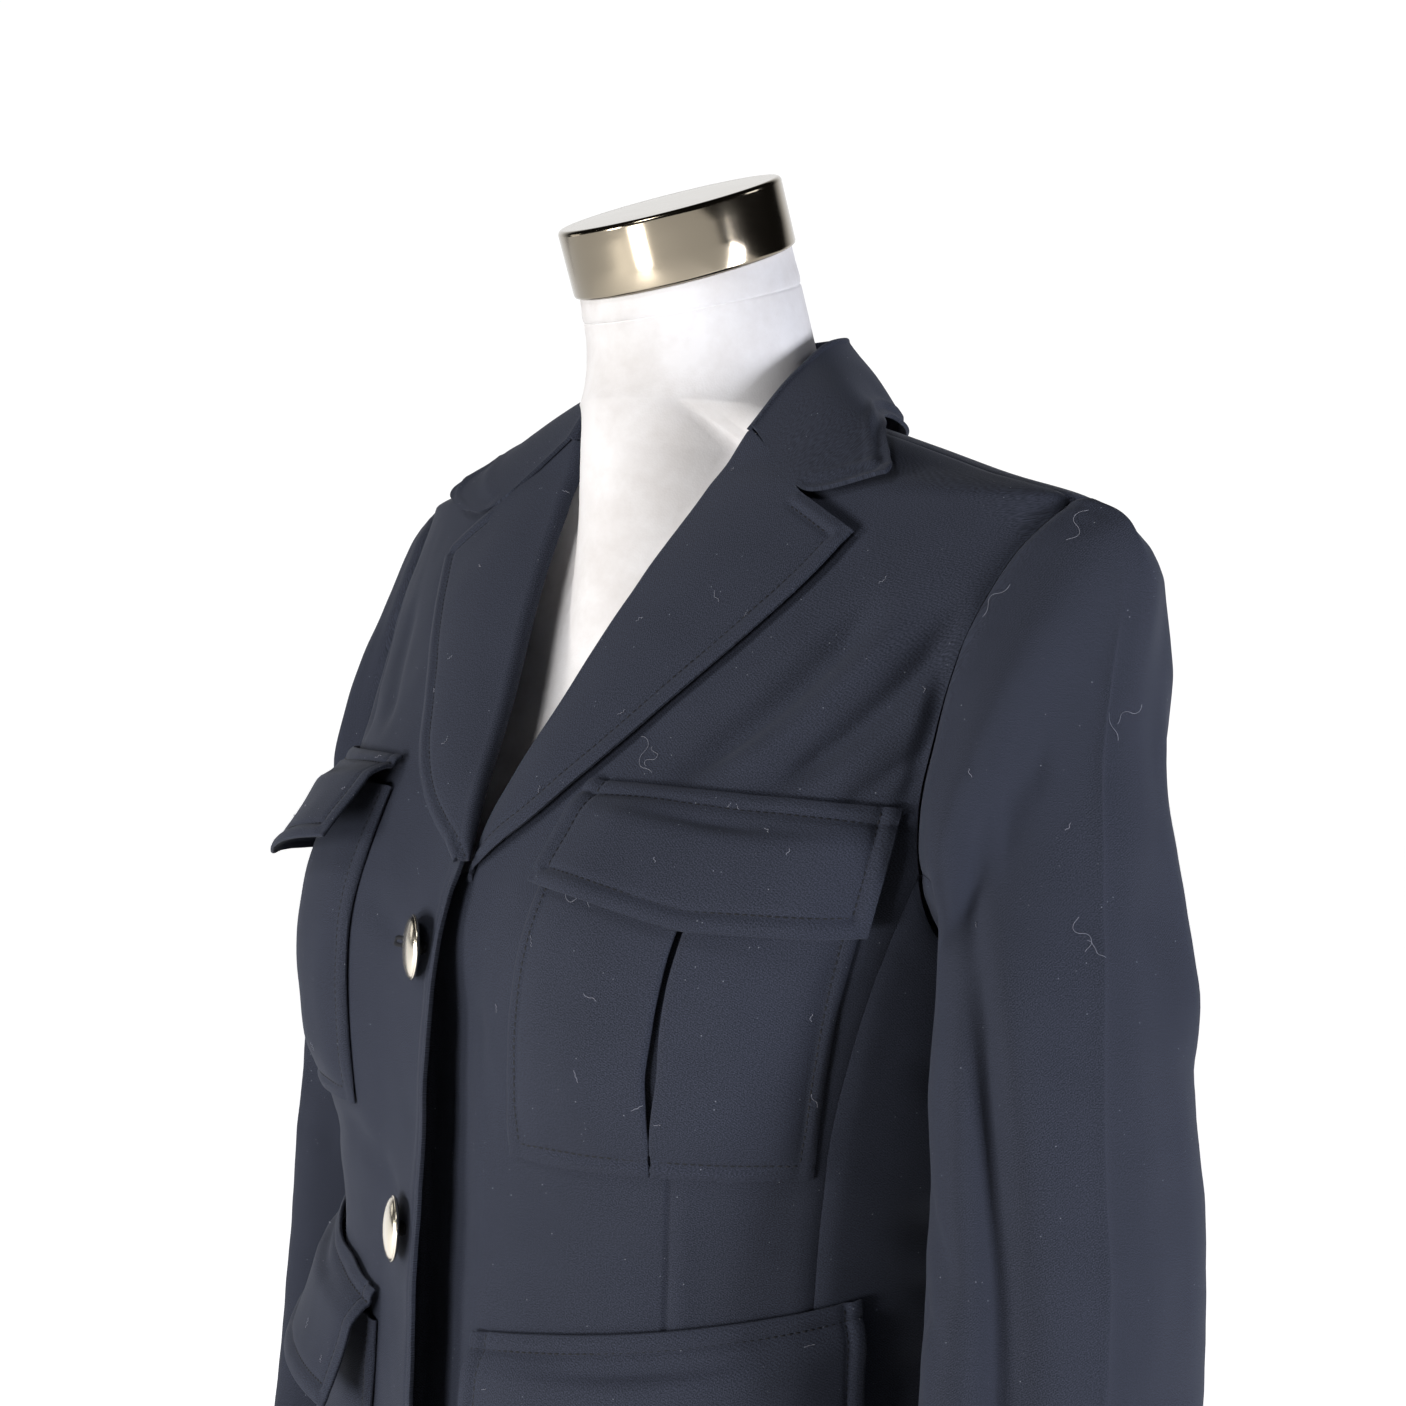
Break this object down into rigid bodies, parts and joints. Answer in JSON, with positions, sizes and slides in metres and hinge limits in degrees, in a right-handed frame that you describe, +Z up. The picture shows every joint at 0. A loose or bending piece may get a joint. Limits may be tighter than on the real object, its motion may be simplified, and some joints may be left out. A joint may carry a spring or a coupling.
{
  "type": "field blazer on a dress form",
  "caption": "Tailored notched-collar field jacket with flapped, pleated patch pockets, buttoned on a limbless dress form with a metal neck cap.",
  "frame": {"origin": "middle of the form's flat base, on the surface it stands on", "axes": "+X to the wearer's left, -Y to the front, +Z up along the standing form"},
  "size_m": [0.519, 0.2898, 0.8088],
  "materials": {
    "navy_twill": "matte wool-blend twill, pressed",
    "jersey_cover": "matte stretched jersey",
    "cap_metal": "satin champagne nickel, turned",
    "button_metal": "smooth domed metal"
  },
  "bodies": {
    "root": {"front_left": "navy_twill", "side_left": "navy_twill", "back_left": "navy_twill", "sleeve_upper_left": "navy_twill", "sleeve_under_left": "navy_twill", "lapel_left": "navy_twill", "chest_pocket_left": "navy_twill", "chest_flap_left": "navy_twill", "hip_pocket_left": "navy_twill", "hip_flap_left": "navy_twill", "front_right": "navy_twill", "side_right": "navy_twill", "back_right": "navy_twill", "sleeve_upper_right": "navy_twill", "sleeve_under_right": "navy_twill", "lapel_right": "navy_twill", "chest_pocket_right": "navy_twill", "chest_flap_right": "navy_twill", "hip_pocket_right": "navy_twill", "hip_flap_right": "navy_twill", "collar": "navy_twill", "button_1": "button_metal", "button_2": "button_metal", "button_3": "button_metal", "dress_form": "jersey_cover", "neck_cap": "cap_metal"}
  },
  "joints": []
}
